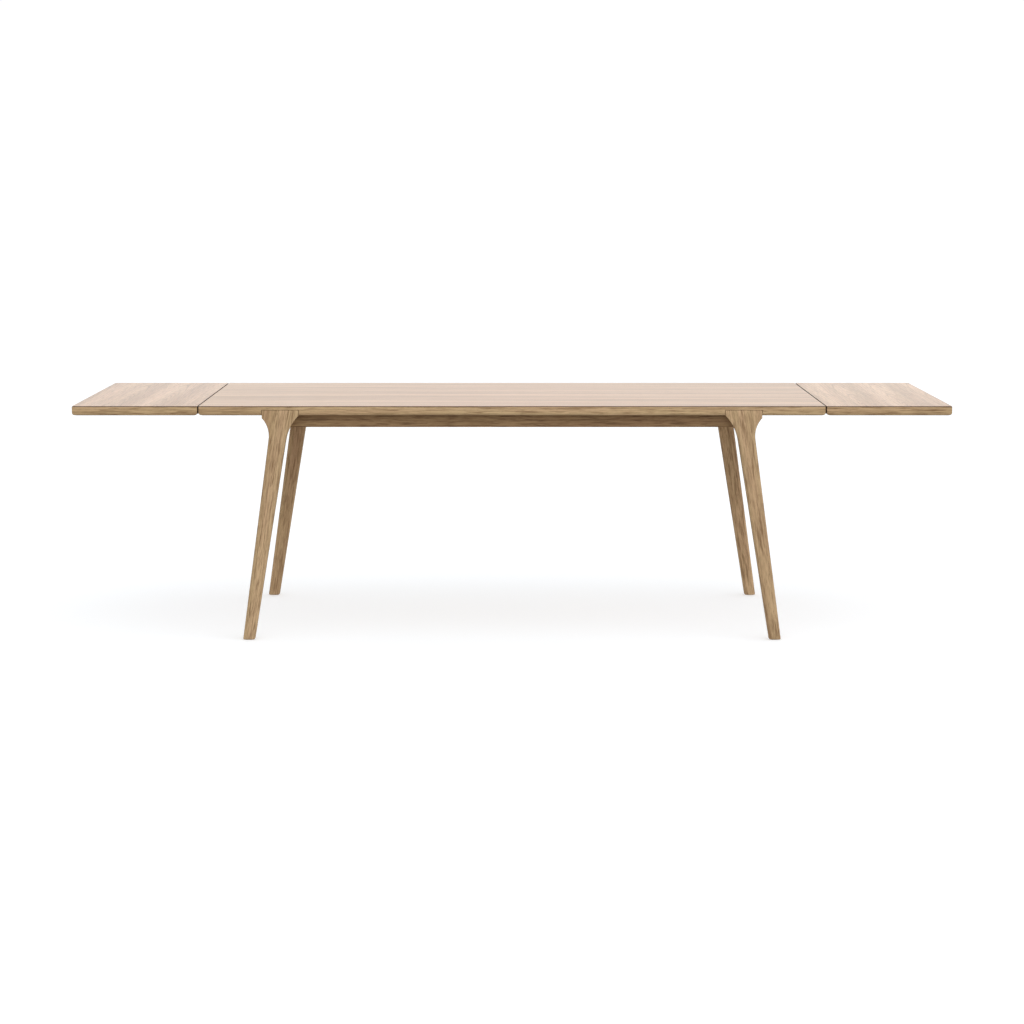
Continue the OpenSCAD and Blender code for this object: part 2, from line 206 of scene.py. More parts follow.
def round_rectangle(low, high, radius, reach, steps):
    """A rectangle's outline as four round corners of points, from +X +Y on round to +X -Y.

    reach is how far inside the rectangle's sides the centre of each corner lies.
    """
    points = []
    for quarter, (sx, sy) in enumerate(QUARTERS):
        cx = (high[0] if sx > 0 else low[0]) - sx * reach
        cy = (high[1] if sy > 0 else low[1]) - sy * reach
        for k in range(steps + 1):
            angle = math.pi / 2 * (quarter + k / steps)
            points.append((cx + radius * math.cos(angle), cy + radius * math.sin(angle)))
    return points


def cut_away(piece, cutters):
    """Cuts the cutters' shapes out of a piece and removes them."""
    for cutter in cutters:
        modifier = piece.modifiers.new("cut", "BOOLEAN")
        modifier.operation = "DIFFERENCE"
        modifier.solver = "EXACT"
        modifier.object = cutter
    seen = piece.evaluated_get(bpy.context.evaluated_depsgraph_get())
    mesh = bpy.data.meshes.new_from_object(seen)
    piece.modifiers.clear()
    old, piece.data = piece.data, mesh
    bpy.data.meshes.remove(old)
    smooth(mesh)
    for cutter in cutters:
        bpy.data.objects.remove(cutter)


def box_cutter(low, high):
    bm = bmesh.new()
    bmesh.ops.create_cube(bm, size=1)
    size = Vector(high) - Vector(low)
    middle = (Vector(high) + Vector(low)) / 2
    for v in bm.verts:
        v.co = Vector(a * b for a, b in zip(v.co, size)) + middle
    return object_from("cutter", bm)


def rod_cutter(place, radius, length):
    """A round cutter along X, centred on place."""
    bm = bmesh.new()
    turn = Matrix.Translation(place) @ Matrix.Rotation(math.pi / 2, 4, "Y")
    bmesh.ops.create_cone(bm, cap_ends=True, segments=ROD_SIDES, radius1=radius, radius2=radius,
                          depth=length, matrix=turn)
    return object_from("cutter", bm)


# Camera and stage --------------------------------------------------------------------------------

LENS = 93.48
SENSOR = 36.0
CAMERA_BACK = 8.433
CAMERA_HEIGHT = 1.494
CAMERA_PITCH = 7.286
FAR_CLIP = 200
STAGE_RADIUS = 60.0
DOME_RADIUS = 59.0
DOME_SEGMENTS = 64
DOME_FOOT = -0.1
WHITE = (1, 1, 1, 1)
FLOOR_GLOW = 0.43
FLOOR_COLOUR = (0.672, 0.700, 0.728, 1)
BACKDROP_GLOW = 1.02
SKY_STRENGTH = 2.05
SKY_TILT = 0.22
# The sky's level from straight down, at 0, past the horizon, at 0.5, to straight up, at 1
SKY = [(0.0, 0.25), (0.49, 0.25), (0.53, 0.27), (0.59, 0.45), (0.67, 0.92), (0.74, 0.83), (0.84, 0.36),
       (1.0, 0.20)]
SOFTBOX_PLACE = Vector((0.9, -2.8, 6.7))
SOFTBOX_AIM = Vector((0, 0, 0.5))
SOFTBOX_SIZE = (8.0, 5.5)
SOFTBOX_POWER = 80


def make_camera():
    data = bpy.data.cameras.new("camera")
    data.lens = LENS
    data.sensor_width = SENSOR
    data.clip_end = FAR_CLIP
    camera = bpy.data.objects.new("camera", data)
    bpy.context.scene.collection.objects.link(camera)
    camera.location = (0, cad_box[0].y - CAMERA_BACK, CAMERA_HEIGHT)
    camera.rotation_euler = (math.radians(90 - CAMERA_PITCH), 0, 0)
    bpy.context.scene.camera = camera


def stage_piece(name, bm, material):
    """A part of the stage, which neither shades the table nor throws coloured light on it."""
    piece = object_from(name, bm, material)
    piece.visible_diffuse = False
    piece.visible_shadow = False
    return piece


def make_floor():
    """A pale floor with its own soft glow, so that only a faint shadow shows on it."""
    material, tree = new_material("floor_paint")
    tree.nodes.clear()
    diffuse = add(tree, "ShaderNodeBsdfDiffuse", {"Color": FLOOR_COLOUR})
    glow = add(tree, "ShaderNodeEmission", {"Color": WHITE, "Strength": FLOOR_GLOW})
    both = add(tree, "ShaderNodeAddShader", {0: diffuse.outputs[0], 1: glow.outputs[0]})
    add(tree, "ShaderNodeOutputMaterial", {"Surface": both.outputs[0]})
    bm = bmesh.new()
    bmesh.ops.create_grid(bm, x_segments=1, y_segments=1, size=STAGE_RADIUS)
    stage_piece("floor", bm, material).visible_glossy = False


def make_backdrop():
    """A plain white dome round the stage, which only the camera and reflections see."""
    material, tree = new_material("backdrop_paint")
    tree.nodes.clear()
    glow = add(tree, "ShaderNodeEmission", {"Color": WHITE, "Strength": BACKDROP_GLOW})
    add(tree, "ShaderNodeOutputMaterial", {"Surface": glow.outputs[0]})
    bm = bmesh.new()
    bmesh.ops.create_uvsphere(bm, u_segments=DOME_SEGMENTS, v_segments=DOME_SEGMENTS // 2,
                              radius=DOME_RADIUS)
    geometry = bm.verts[:] + bm.edges[:] + bm.faces[:]
    bmesh.ops.bisect_plane(bm, geom=geometry, plane_co=(0, 0, DOME_FOOT), plane_no=(0, 0, 1),
                           clear_inner=True)
    stage_piece("backdrop", bm, material)


def make_world():
    """Soft light from all round, strongest a third of the way up, and a little more of it from +X."""
    world = bpy.data.worlds.new("studio")
    bpy.context.scene.world = world
    world.use_nodes = True
    tree = world.node_tree
    tree.nodes.clear()
    where = add(tree, "ShaderNodeTexCoord").outputs["Generated"]
    split = add(tree, "ShaderNodeSeparateXYZ", {0: where})
    ramp = add(tree, "ShaderNodeValToRGB", {0: remap(tree, split.outputs["Z"], -1, 1, 0, 1)})
    set_ramp(ramp, [(place, (level, level, level, 1)) for place, level in SKY])
    weak = SKY_STRENGTH * (1 - SKY_TILT)
    strong = SKY_STRENGTH * (1 + SKY_TILT)
    strength = remap(tree, split.outputs["X"], -1, 1, weak, strong)
    background = add(tree, "ShaderNodeBackground", {"Color": ramp.outputs[0], "Strength": strength})
    add(tree, "ShaderNodeOutputWorld", {"Surface": background.outputs[0]})


def make_softbox():
    data = bpy.data.lights.new("softbox", "AREA")
    data.shape = "RECTANGLE"
    data.size, data.size_y = SOFTBOX_SIZE
    data.energy = SOFTBOX_POWER
    lamp = bpy.data.objects.new("softbox", data)
    bpy.context.scene.collection.objects.link(lamp)
    lamp.location = SOFTBOX_PLACE
    lamp.rotation_euler = (SOFTBOX_AIM - SOFTBOX_PLACE).to_track_quat("-Z", "Y").to_euler()
    lamp.visible_camera = False
    lamp.visible_glossy = False


# Oak ---------------------------------------------------------------------------------------------

OAK_PALE = (0.660, 0.475, 0.285, 1)
OAK_MID = (0.530, 0.360, 0.205, 1)
OAK_RING = (0.250, 0.148, 0.072, 1)
OAK_PORE = (0.120, 0.064, 0.030, 1)
OAK_PINK = (0.600, 0.375, 0.245, 1)
OAK_OLIVE = (0.545, 0.415, 0.225, 1)
NATURAL = (1.0, 1.0, 1.0)
OAK_INPUTS = {"Vector": "NodeSocketVector", "Waves": "NodeSocketFloat", "ToneAndLight": "NodeSocketVector",
              "Pink": "NodeSocketFloat", "Rings": "NodeSocketFloat", "Flecks": "NodeSocketFloat"}
OAK_OUTPUTS = {"Color": "NodeSocketColor", "Roughness": "NodeSocketFloat", "Height": "NodeSocketFloat"}

# How often each figure changes in a metre: along the grain, then on the two axes across it
BEND_SCALE = (1.6, 6, 6)
RING_EDGE_SCALE = (9, 110, 110)
FIBRE_SCALE = (22, 300, 300)
FLECK_SCALE = (14, 170, 170)
STREAK_SCALE = (3.6, 62, 62)
BAND_SCALE = (0.8, 11, 11)
HUE_SCALE = (2.2, 38, 38)
PORE_SCALE = (95, 1500, 1500)
VENEER_BAND_SCALE = (0.4, 11, 11)

RING_GAP = 3.8 * MM
RING_RAGGED = 1.1
EARLY_WOOD = 0.62
GRAIN_DEPTH = 0.35 * MM
SOLID_BUMP = 0.5
SOLID_ROUGHNESS = 0.58
SOLID_SPECULAR = 0.25
# How far apart in the log two pieces with neighbouring seeds are cut
SEED_STEP = 1.37


def annual_rings(tree, vector, waves):
    """Cylinders about the heart, bent a little by slow noise. Some years are darker than others."""
    slow = noise(tree, vector, BEND_SCALE, 2.0, output="Color")
    bend = vector_node(tree, "SUBTRACT", slow, (0.5, 0.5, 0.5))
    scaled = add(tree, "ShaderNodeVectorMath", {0: bend, "Scale": waves}, operation="SCALE").outputs[0]
    flat = vector_node(tree, "MULTIPLY", vector_node(tree, "ADD", vector, scaled), (0, 1, 1))
    radius = add(tree, "ShaderNodeVectorMath", {0: flat}, operation="LENGTH").outputs["Value"]
    ragged = math_node(tree, "MULTIPLY", noise(tree, vector, RING_EDGE_SCALE, 3.0, 0.6), RING_RAGGED)
    phase = math_node(tree, "ADD", math_node(tree, "DIVIDE", radius, RING_GAP), ragged)
    number = math_node(tree, "FLOOR", phase)
    year = add(tree, "ShaderNodeTexWhiteNoise", {"W": number}, noise_dimensions="1D").outputs["Value"]
    part = math_node(tree, "FRACT", phase)
    early = math_node(tree, "POWER", remap(tree, part, 0.0, EARLY_WOOD, 1.0, 0.0), 1.3)
    strength = math_node(tree, "POWER", remap(tree, year, 0, 1, 0.25, 1.0), 2.0)
    return math_node(tree, "MULTIPLY", early, strength)


def pores(tree, vector, ring):
    """Fine dark dashes, most of them in the early wood of each ring."""
    seed = noise(tree, vector, PORE_SCALE, 1.0)
    crowding = remap(tree, ring, 0.0, 0.5, 0.25, 1.0)
    return math_node(tree, "MULTIPLY", remap(tree, seed, 0.60, 0.70, 0.0, 1.0), crowding)


def ground_colour(tree, vector, pink):
    """Broad bands, pale and less pale, turned to olive in places and to pink in others."""
    band = noise(tree, vector, BAND_SCALE, 3.0, 0.6)
    hue = noise(tree, vector, HUE_SCALE, 2.0)
    colour = mix_colour(tree, remap(tree, band, 0.36, 0.64, 0.0, 1.0), OAK_MID, OAK_PALE)
    colour = mix_colour(tree, remap(tree, hue, 0.50, 0.34, 0.0, 0.30), colour, OAK_OLIVE)
    pinker = math_node(tree, "ADD", remap(tree, hue, 0.50, 0.68, 0.0, 0.30), pink)
    return mix_colour(tree, pinker, colour, OAK_PINK)


def make_oak_group():
    """The grain of oak. Its vector runs along the grain in X, with the tree's heart on the X axis."""
    tree = bpy.data.node_groups.new("oak_grain", "ShaderNodeTree")
    for name, kind in OAK_INPUTS.items():
        tree.interface.new_socket(name, in_out="INPUT", socket_type=kind)
    for name, kind in OAK_OUTPUTS.items():
        tree.interface.new_socket(name, in_out="OUTPUT", socket_type=kind)
    given = add(tree, "NodeGroupInput").outputs
    vector = given["Vector"]
    ring = annual_rings(tree, vector, given["Waves"])
    pore = pores(tree, vector, ring)
    fibre = noise(tree, vector, FIBRE_SCALE, 4.0, 0.62)
    fleck = noise(tree, vector, FLECK_SCALE, 3.0, 0.6)
    streak = noise(tree, vector, STREAK_SCALE, 3.0, 0.6)

    colour = ground_colour(tree, vector, given["Pink"])
    colour = mix_colour(tree, math_node(tree, "MULTIPLY", ring, given["Rings"]), colour, OAK_RING)
    for figure, low, high, amount in (
            (streak, 0.54, 0.74, 0.45),
            (fleck, 0.51, 0.66, 0.85),
            (fibre, 0.46, 0.68, 0.65)):
        share = math_node(tree, "MULTIPLY", remap(tree, figure, low, high, 0.0, amount), given["Flecks"])
        colour = mix_colour(tree, share, colour, OAK_RING)
    colour = mix_colour(tree, math_node(tree, "MULTIPLY", pore, 0.75), colour, OAK_PORE)
    # The tone multiplies the colour. For the legs and rails it also holds painted light and shade
    toned_and_lit = vector_node(tree, "MULTIPLY", colour, given["ToneAndLight"])

    height = math_node(tree, "SUBTRACT", math_node(tree, "MULTIPLY", fibre, -0.35), pore)
    height = math_node(tree, "SUBTRACT", height, math_node(tree, "MULTIPLY", ring, 0.25))
    dull = math_node(tree, "ADD", remap(tree, fibre, 0.3, 0.7, 0.0, 0.10),
                     math_node(tree, "MULTIPLY", pore, 0.2))
    add(tree, "NodeGroupOutput", {"Color": toned_and_lit, "Roughness": dull, "Height": height})
    return tree


def wood_vector(tree, centre, direction, heart, seed):
    """A point's place in the wood. heart is where the tree's heart is, seen from the piece's centre."""
    turn = Vector(direction).normalized().rotation_difference(ALONG["x"]).to_matrix()
    shift = Vector((seed * SEED_STEP, -heart[0], -heart[1])) - turn @ Vector(centre)
    return add(tree, "ShaderNodeMapping", {
        "Vector": object_space(tree),
        "Location": shift,
        "Rotation": turn.to_euler(),
    }).outputs[0]


def oak_grain(tree, vector, waves, bump, roughness, tone_and_light=NATURAL, pink=0.0, rings=0.62, flecks=1.0):
    """Adds the grain to a material: links its relief and roughness, and returns its colour."""
    given = {"Vector": vector, "Waves": waves, "ToneAndLight": tone_and_light, "Pink": pink, "Rings": rings, "Flecks": flecks}
    grain = add(tree, "ShaderNodeGroup", given, node_tree=OAK).outputs
    finish_shader(tree, {
        "Roughness": math_node(tree, "ADD", grain["Roughness"], roughness),
        "Normal": relief(tree, grain["Height"], bump, GRAIN_DEPTH),
    })
    return grain["Color"]


# Painted shade on the oak -------------------------------------------------------------------------

# Painted shade: dark colour multiplied onto the veneer's cut edge and arris
VENEER_EDGE_SHADE = (0.26, 0.18, 0.09, 1)
# Painted shade for the ends where two boards meet
GAP_SHADE = (0.20, 0.13, 0.08, 1)
# Painted shade for the groove under the veneer
GROOVE_SHADE = (0.14, 0.08, 0.03, 1)
# The groove under the veneer: how far below the top face it starts, its height and its depth
GROOVE_DROP = 0.7 * MM
GROOVE_HEIGHT = 1.6 * MM
GROOVE_DEPTH = 2.8 * MM


def facing(tree, axis):
    """How squarely the surface looks along an axis, either way: from 0 to 1."""
    normal = add(tree, "ShaderNodeNewGeometry").outputs["Normal"]
    return math_node(tree, "ABSOLUTE", add(tree, "ShaderNodeSeparateXYZ", {0: normal}).outputs[axis])


def paint_cut_edge_shade(tree, colour):
    """Painted shade: every face of the veneer that doesn't look straight up or down is darkened, its cut
    edge and most of its arris, which draws a dark shadow line along the board's edges.
    """
    edge = remap(tree, facing(tree, "Z"), 0.97, 0.80, 0.0, 1.0)
    return mix_colour(tree, edge, colour, VENEER_EDGE_SHADE, "MULTIPLY")


def paint_gap_shade(tree, colour):
    """Painted shade on the wood's upright faces along X, where two boards meet and the narrow gap between
    them lies in shade.
    """
    edge = remap(tree, facing(tree, "X"), 0.70, 0.90, 0.0, 1.0)
    return mix_colour(tree, edge, colour, GAP_SHADE, "MULTIPLY")


def paint_groove_shade(tree, colour, top):
    """Painted shade in the groove, which lies between two heights under a board's top face."""
    height = add(tree, "ShaderNodeSeparateXYZ", {0: object_space(tree)}).outputs["Z"]
    below_start = math_node(tree, "LESS_THAN", height, top - GROOVE_DROP)
    above_end = math_node(tree, "GREATER_THAN", height, top - GROOVE_DROP - GROOVE_HEIGHT)
    inside = math_node(tree, "MULTIPLY", below_start, above_end)
    return mix_colour(tree, inside, colour, GROOVE_SHADE, "MULTIPLY")


def oak(name, centre, direction, heart, seed, waves=0.02, tone_and_light=NATURAL, flecks=1.0, groove_top=None,
        gap_shaded=False):
    """Solid oak, cut so that the tree's heart is at heart, across the grain from its centre.

    groove_top is the height of the top face over a groove, whose walls get painted shade. The last argument
    adds painted shade to the upright ends where the board meets another.
    """
    material, tree = new_material(name)
    vector = wood_vector(tree, centre, direction, heart, seed)
    colour = oak_grain(tree, vector, waves, SOLID_BUMP, SOLID_ROUGHNESS, tone_and_light=tone_and_light, flecks=flecks)
    # Painted shade in the groove under the top face
    if groove_top is not None:
        colour = paint_groove_shade(tree, colour, groove_top)
    # Painted shade on the ends that meet another board
    if gap_shaded:
        colour = paint_gap_shade(tree, colour)
    finish_shader(tree, {"Base Color": colour, "Specular IOR Level": SOLID_SPECULAR})
    return material


# Veneer ------------------------------------------------------------------------------------------

# How a veneer was cut: its depth and offset from the heart, the heart's rise along it, the width of
# one leaf, and how much the rings wave
VeneerCut = namedtuple("VeneerCut", "depth offset rise leaf waves")
RIFT = VeneerCut(depth=0.10, offset=-0.11, rise=0.012, leaf=0.158, waves=0.018)
CROWN = VeneerCut(depth=0.035, offset=0.004, rise=0.030, leaf=0.133, waves=0.016)
BACK_DEEPER = 1.3
BACK_SEED = 5
VENEER_SLIP = 17 * MM
VENEER_SLICE = 0.7 * MM
VENEER_STRETCH = 0.4
VENEER_GREY = (0.92, 0.815, 0.75, 1)
VENEER_PINK = (1.30, 1.235, 1.28, 1)
VENEER_BUMP = 0.35
VENEER_ROUGHNESS = 0.36
VENEER_COAT = 0.55
VENEER_COAT_ROUGHNESS = 0.30


def slip_match(tree, vector, cut, seed):
    """Veneer leaves of one width side by side, each a slice further into the log than the last."""
    split = add(tree, "ShaderNodeSeparateXYZ", {0: vector})
    along = split.outputs["X"]
    place = math_node(tree, "DIVIDE", split.outputs["Y"], cut.leaf)
    order = math_node(tree, "FLOOR", place)
    across = math_node(tree, "MULTIPLY", math_node(tree, "FRACT", place), cut.leaf)
    across = math_node(tree, "SUBTRACT", across, cut.leaf / 2 + cut.offset)
    slipped = math_node(tree, "ADD", along, math_node(tree, "MULTIPLY", order, VENEER_SLIP))
    slipped = math_node(tree, "ADD", slipped, seed * SEED_STEP)
    slipped = math_node(tree, "MULTIPLY", slipped, VENEER_STRETCH)
    depth = math_node(tree, "ADD", math_node(tree, "MULTIPLY", along, cut.rise), cut.depth)
    depth = math_node(tree, "ADD", depth, math_node(tree, "MULTIPLY", order, VENEER_SLICE))
    return add(tree, "ShaderNodeCombineXYZ", {0: slipped, 1: across, 2: depth}).outputs[0]


def oak_veneer(name, centre, direction, cut, seed):
    """Oiled oak veneer with bands of a greyer and a pinker tint."""
    material, tree = new_material(name)
    vector = wood_vector(tree, centre, direction, (0, 0), 0)
    matched = slip_match(tree, vector, cut, seed)
    colour = oak_grain(tree, matched, cut.waves, VENEER_BUMP, VENEER_ROUGHNESS,
                       pink=0.15, rings=0.95, flecks=0.5)
    bands = noise(tree, vector, VENEER_BAND_SCALE, 4.0, 0.6)
    tint = mix_colour(tree, remap(tree, bands, 0.40, 0.60, 0.0, 1.0), VENEER_GREY, VENEER_PINK)
    colour = mix_colour(tree, 1.0, colour, tint, "MULTIPLY")
    finish_shader(tree, {
        # Painted shade on the veneer's cut edge
        "Base Color": paint_cut_edge_shade(tree, colour),
        "Coat Weight": VENEER_COAT,
        "Coat Roughness": VENEER_COAT_ROUGHNESS,
    })
    return material


# Other materials ---------------------------------------------------------------------------------

CHIP_SCALE = 420.0
CHIP_DARK = (0.46, 0.32, 0.18, 1)
CHIP_PALE = (0.66, 0.50, 0.31, 1)
CHIP_GLUE = (0.28, 0.18, 0.09, 1)
CHIP_DUST_SCALE = (900, 900, 900)
METAL_MARK_SCALE = (900, 900, 260)
METAL_WEAR_SCALE = (70, 70, 70)
ZINC = (0.56, 0.57, 0.58, 1)
ZINC_WORN = (0.42, 0.42, 0.42, 1)
BRIGHT_BRASS = (0.72, 0.52, 0.22, 1)
DULL_BRASS = (0.52, 0.36, 0.15, 1)
NYLON_GRAIN_SCALE = (1400, 1400, 1400)
NYLON_CLOUD_SCALE = (120, 120, 120)
NYLON_GREY = (0.74, 0.73, 0.68, 1)
NYLON_WHITE = (0.82, 0.81, 0.77, 1)


def chipboard():
    """Pressed chips, each with a tint of its own, with specks of glue and dust."""
    material, tree = new_material("chipboard")
    where = object_space(tree)
    chips = add(tree, "ShaderNodeTexVoronoi", {"Vector": where, "Scale": CHIP_SCALE}).outputs["Color"]
    tint = add(tree, "ShaderNodeSeparateXYZ", {0: chips}).outputs[0]
    dust = noise(tree, where, CHIP_DUST_SCALE, 3.0)
    colour = mix_colour(tree, tint, CHIP_DARK, CHIP_PALE)
    finish_shader(tree, {
        "Base Color": mix_colour(tree, remap(tree, dust, 0.45, 0.7, 0, 0.5), colour, CHIP_GLUE),
        "Normal": relief(tree, dust, 0.5, 0.4 * MM),
        "Roughness": 0.9,
    })
    return material


def metal(name, colour, dull, roughness):
    """Plated or turned metal with faint marks, more worn in patches."""
    material, tree = new_material(name)
    where = object_space(tree)
    marks = noise(tree, where, METAL_MARK_SCALE, 3.0, 0.65)
    wear = noise(tree, where, METAL_WEAR_SCALE, 2.0)
    finish_shader(tree, {
        "Base Color": mix_colour(tree, remap(tree, wear, 0.4, 0.7, 0, 0.7), colour, dull),
        "Roughness": remap(tree, marks, 0.3, 0.7, roughness - 0.07, roughness + 0.12),
        "Normal": relief(tree, marks, 0.2, 0.1 * MM),
        "Metallic": 1.0,
    })
    return material


def nylon():
    """Moulded nylon, a little cloudy and finely grained."""
    material, tree = new_material("nylon")
    where = object_space(tree)
    grain = noise(tree, where, NYLON_GRAIN_SCALE, 2.0)
    cloud = noise(tree, where, NYLON_CLOUD_SCALE, 2.0)
    finish_shader(tree, {
        "Base Color": mix_colour(tree, remap(tree, cloud, 0.35, 0.65, 0, 1), NYLON_GREY, NYLON_WHITE),
        "Roughness": remap(tree, grain, 0.3, 0.7, 0.42, 0.58),
        "Normal": relief(tree, grain, 0.25, 0.1 * MM),
    })
    return material


# Boards ------------------------------------------------------------------------------------------

ARRIS = 0.5 * MM
ARRIS_STEPS = 12
CORNER = 1.5 * MM
CORNER_STEPS = 8
UNDER = 9 * MM
UNDER_STEPS = 12
# How the groove's walls close in towards its floor, as a share of its height
GROOVE_TAPER = 0.1
# Which corner of the outline, counted from +X +Y, each lipping starts from
LIPPING_START = {"rear": 0, "minus_end": 1, "front": 2, "plus_end": 3}
LIPPING_TONE = (0.99, 0.975, 0.91)
LIPPING_WAVES = 0.03
MEETING_EDGES = ("left", "right", "inner")


def corner_path(low, high, inset):
    """The board's outline, inset, as four round corners of points."""
    return round_rectangle(low, high, max(CORNER - inset, 0), max(CORNER, inset), CORNER_STEPS)


def arris_points(top):
    """The small round on a board's upper edge as (inset, z), from its side up to its top face."""
    points = []
    for k in range(ARRIS_STEPS + 1):
        angle = math.pi / 2 * (2 - k / ARRIS_STEPS)
        points.append((ARRIS + ARRIS * math.cos(angle), top - ARRIS + ARRIS * math.sin(angle)))
    return points


def make_face_veneer(node, body, material):
    """The veneer's plan with round corners and a fine round along its upper edge."""
    low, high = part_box(node)
    bm = bmesh.new()
    loops = []
    for inset, z in [(0, low.z), *arris_points(high.z)]:
        loops.append([bm.verts.new((x, y, z)) for x, y in corner_path(low, high, inset)])
    skin(bm, loops)
    finish_piece(bm, node + "_sheet", material, node, body)


def lipping_profile(low, high, width, board_top):
    """The lipping's closed section as (inset, z), with a fine groove for a shadow line under the veneer."""
    groove_top = board_top - GROOVE_DROP
    points = [
        (0, high),
        (0, groove_top),
        (GROOVE_DEPTH, groove_top - GROOVE_HEIGHT * GROOVE_TAPER),
        (GROOVE_DEPTH, groove_top - GROOVE_HEIGHT * (1 - GROOVE_TAPER)),
        (0, groove_top - GROOVE_HEIGHT),
    ]
    for k in range(UNDER_STEPS + 1):
        angle = math.pi / 2 * (2 + k / UNDER_STEPS)
        points.append((UNDER + UNDER * math.cos(angle), low + UNDER + UNDER * math.sin(angle)))
    return [*points, (width, low), (width, high)]


def make_lipping(node, body, material, board, width, which):
    """One side of the board's frame of lippings, from the middle of one corner to that of the next."""
    board_low, board_high = board
    low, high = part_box(node)
    profile = lipping_profile(low.z, high.z, width, board_high.z)
    paths = [corner_path(board_low, board_high, inset) for inset, _ in profile]
    half = CORNER_STEPS // 2
    start = LIPPING_START[which] * (CORNER_STEPS + 1)
    end = (LIPPING_START[which] + 1) % len(QUARTERS) * (CORNER_STEPS + 1)
    places = [*range(start + half, start + CORNER_STEPS + 1), *range(end, end + half + 1)]
    bm = bmesh.new()
    loops = []
    for place in places:
        loops.append([bm.verts.new((*path[place], z)) for path, (_, z) in zip(paths, profile)])
    skin(bm, loops)
    return finish_piece(bm, node + "_strip", material, node, body)


def centre_of(node):
    low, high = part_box(node)
    return (low + high) / 2


def paint(node, material):
    """Gives a CAD node one material all over."""
    mesh = nodes[node].data
    mesh.materials.clear()
    mesh.materials.append(material)
    mesh.polygons.foreach_set("material_index", [0] * len(mesh.polygons))


def dress_board(prefix, body, grain, cut, seed, ends, flecks=1.0):
    """The veneers, lippings and core of one board. ends names the two end lippings at -X and +X."""
    face, back, core = prefix + "_face_veneer", prefix + "_back_veneer", prefix + "_core"
    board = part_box(face)
    board_top = board[1].z
    make_face_veneer(face, body, oak_veneer(prefix + "_face_oak", centre_of(face), ALONG[grain], cut, seed))
    back_cut = cut._replace(depth=cut.depth * BACK_DEEPER)
    paint(back, oak_veneer(prefix + "_back_oak", centre_of(back), ALONG[grain], back_cut, seed + BACK_SEED))
    paint(core, CHIPBOARD)
    width = board[1].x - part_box(core)[1].x
    sides = {"front": "front", "rear": "rear", ends[0]: "minus_end", ends[1]: "plus_end"}
    strips = {}
    for k, (name, which) in enumerate(sides.items()):
        node = f"{prefix}_{name}_lipping"
        direction = ALONG["x" if which in DEPTHS else "y"]
        heart = (0.035 + 0.011 * k, 0.055 - 0.017 * k)
        # Painted shade goes into each lipping's groove and onto the ends that meet another board
        wood = oak(node + "_oak", centre_of(node), direction, heart, seed + 1 + k, waves=LIPPING_WAVES,
                   tone_and_light=LIPPING_TONE, flecks=flecks, groove_top=board_top, gap_shaded=name in MEETING_EDGES)
        strips[name] = make_lipping(node, body, wood, board, width, which)
    return strips


# Housings and holes in the fixed top -------------------------------------------------------------

HEAD_GAP = 1.1 * MM
# A head's width is read from the points in this much of its top
HEAD_SLICE = 1 * MM
CUT_PAST = 10 * MM
BUSH_CUT_LENGTHS = 3


def head_cutters(depth):
    """The housings for the leg heads in one long side of the fixed top, with a fine gap round each."""
    core_low, core_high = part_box("top_core")
    cutters = []
    for side in SIDES:
        leg = f"{depth}_{side}_leg"
        low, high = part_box(leg)
        head = [v.co.x for v in nodes[leg].data.vertices if v.co.z > high.z - HEAD_SLICE]
        if depth == "front":
            y_low, y_high = low.y - CUT_PAST, core_low.y + CUT_PAST
        else:
            y_low, y_high = core_high.y - CUT_PAST, high.y + CUT_PAST
        cutters.append(box_cutter((min(head) - HEAD_GAP, y_low, low.z),
                                  (max(head) + HEAD_GAP, y_high, high.z + HEAD_GAP)))
    return cutters


def bush_cutters(side):
    """The three holes for the dowel bushes in one end of the fixed top."""
    low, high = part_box(f"{side}_dowel_bushes")
    middle = (low + high) / 2
    radius = (high.z - low.z) / 2
    reach = high.y - radius
    length = BUSH_CUT_LENGTHS * (high.x - low.x)
    return [rod_cutter((middle.x, y, middle.z), radius, length) for y in (-reach, 0, reach)]


def dress_boards():
    strips = dress_board("top", "table", "x", RIFT, 3, ("left", "right"), flecks=0.75)
    for depth in DEPTHS:
        cut_away(strips[depth], head_cutters(depth))
    for side in SIDES:
        cut_away(strips[side], bush_cutters(side))
    dress_board("left_leaf", "left_leaf", "y", CROWN, 11, ("outer", "inner"))
    dress_board("right_leaf", "right_leaf", "y", CROWN, 19, ("inner", "outer"))


# Legs --------------------------------------------------------------------------------------------

LEG_LEAN = math.radians(8.6)
LEG_STEPS = 28
LEG_CORNER_STEPS = 8
LEG_WAVES = 0.022
# Painted light: the rear legs, under the top, get a lighter tone than the front legs, which stand in full
# light
LEG_TONES_AND_LIGHT = {"front": (0.955, 0.93, 0.875), "rear": (1.05, 1.02, 0.97)}
HEAD_ROUND = 1.6 * MM
HEAD_STEPS = 2
SHAFT_ROUND = 8.5 * MM
FOOT_ROUND = 3.5 * MM
FOOT_STEPS = 5
LEAST_ROUND = 0.3 * MM
# A round takes up less than half of the section's side
ROUND_LIMIT = 2.05
# The edges go from crisp to fully round between these two heights
ROUND_TOP = 0.690
ROUND_FULL = 0.625
# Outline points nearer than this to the leg's middle line lie on neither side
MIDDLE_BAND = 12 * MM
LEVEL_DIGITS = 5
SAME_LEVEL = 1e-5


